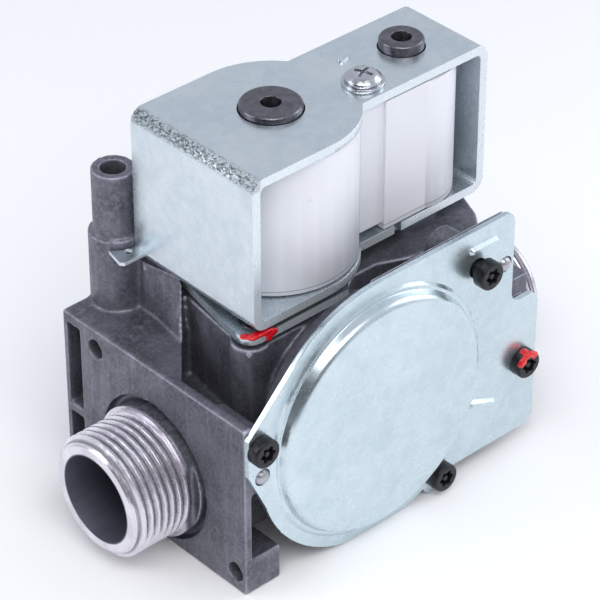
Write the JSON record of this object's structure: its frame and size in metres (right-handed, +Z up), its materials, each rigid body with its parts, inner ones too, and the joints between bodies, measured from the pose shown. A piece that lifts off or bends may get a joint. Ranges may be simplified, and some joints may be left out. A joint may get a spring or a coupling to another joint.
{
  "type": "gas valve",
  "caption": "Twin-solenoid gas control valve with threaded ports, a round diaphragm cover, a pressure nipple and a bent steel coil bracket.",
  "frame": {"origin": "on the flow axis, in the face of the inlet flange", "axes": "+X along the gas flow towards the outlet, -Y towards the round front cover, +Z up towards the coils"},
  "size_m": [0.1125, 0.0617, 0.0893],
  "materials": {
    "cast_aluminium": "blasted die casting with machined ports",
    "zinc_sheet": "bright zinc plate",
    "black_steel": "black phosphate",
    "bright_steel": "bright zinc plate",
    "core_steel": "dark turned steel",
    "stainless": "drawn stainless",
    "coil_plastic": "moulded",
    "black_plastic": "moulded",
    "copper_wire": "enamelled wire, wound",
    "tinned_brass": "tinned",
    "brass_tube": "drawn",
    "seal_rubber": "moulded",
    "plain_aluminium": "pressed"
  },
  "bodies": {
    "valve": {"valve_body": "cast_aluminium", "inlet_strainer": "stainless", "front_cover": "zinc_sheet", "cover_screws": "black_steel", "sealed_cover_screw": "black_steel", "raised_cover_screw": "black_steel", "coil_bracket": "zinc_sheet", "large_coil": "coil_plastic", "small_coil": "coil_plastic", "large_winding": "copper_wire", "small_winding": "copper_wire", "coil_terminals": "tinned_brass", "bracket_screw": "bright_steel", "bracket_screw_washer": "bright_steel", "retaining_plate": "zinc_sheet", "plate_screws": "bright_steel", "large_guide_tube": "brass_tube", "large_tube_seal": "seal_rubber", "large_core": "core_steel", "small_guide_tube": "brass_tube", "small_tube_seal": "seal_rubber", "small_core": "core_steel", "large_plunger_spring": "stainless", "small_plunger_spring": "stainless", "main_diaphragm": "seal_rubber", "main_valve_spring": "stainless", "regulator_cap": "black_plastic", "regulator_spring": "stainless", "servo_diaphragm": "seal_rubber", "servo_diaphragm_ring": "tinned_brass"},
    "large_plunger_unit": {"large_plunger": "core_steel", "large_valve_seal": "seal_rubber"},
    "small_plunger_unit": {"small_plunger": "core_steel", "small_valve_seal": "seal_rubber"},
    "main_valve": {"main_valve_disc": "plain_aluminium", "main_valve_seal": "seal_rubber", "diaphragm_plate": "plain_aluminium"},
    "spring_seat": {"regulator_spring_seat": "tinned_brass"},
    "adjuster": {"regulator_screw": "black_plastic"},
    "servo_valve": {"servo_valve_plate": "stainless"},
    "test_seal": {"inlet_test_seal": "seal_rubber"},
    "test_screw": {"inlet_test_screw": "bright_steel"}
  },
  "joints": [
    {"name": "large_plunger_lift", "type": "slide", "parent": "valve", "child": "large_plunger_unit", "axis": [0, 0, 1], "range_m": [0, 0.0024], "stiffness_N_per_m": 300, "springref_m": -0.008, "deforming": ["large_plunger_spring"]},
    {"name": "small_plunger_lift", "type": "slide", "parent": "valve", "child": "small_plunger_unit", "axis": [0, 0, 1], "range_m": [0, 0.0018], "stiffness_N_per_m": 200, "springref_m": -0.006, "deforming": ["small_plunger_spring"]},
    {"name": "main_valve_lift", "type": "slide", "parent": "valve", "child": "main_valve", "axis": [0, -1, 0], "range_m": [0, 0.0025], "stiffness_N_per_m": 200, "springref_m": -0.005, "deforming": ["main_valve_spring", "main_diaphragm"]},
    {"name": "servo_valve_lift", "type": "slide", "parent": "valve", "child": "servo_valve", "axis": [0, 0, 1], "range_m": [0, 0.0004], "stiffness_N_per_m": 400, "springref_m": -0.003, "deforming": ["servo_diaphragm"]},
    {"name": "regulator_seat_travel", "type": "slide", "parent": "valve", "child": "spring_seat", "axis": [0, 0, -1], "range_m": [-0.001, 0.001], "deforming": ["regulator_spring"]},
    {"name": "regulator_screw_turn", "type": "hinge", "parent": "spring_seat", "child": "adjuster", "pos_m": [0.05, 0.0188, 0.04], "axis": [0, 0, -1], "range_deg": [-360, 360]},
    {"name": "test_seal_travel", "type": "slide", "parent": "valve", "child": "test_seal", "axis": [0, 0, 1], "range_m": [0, 0.0016]},
    {"name": "test_screw_turn", "type": "hinge", "parent": "test_seal", "child": "test_screw", "pos_m": [0.011, 0.0232, 0.037], "axis": [0, 0, 1], "range_deg": [0, 720]}
  ],
  "couplings": [
    {"joint": "regulator_screw_turn", "follows": "regulator_seat_travel", "rad_per_m": 6283.2},
    {"joint": "test_screw_turn", "follows": "test_seal_travel", "rad_per_m": 7854}
  ]
}
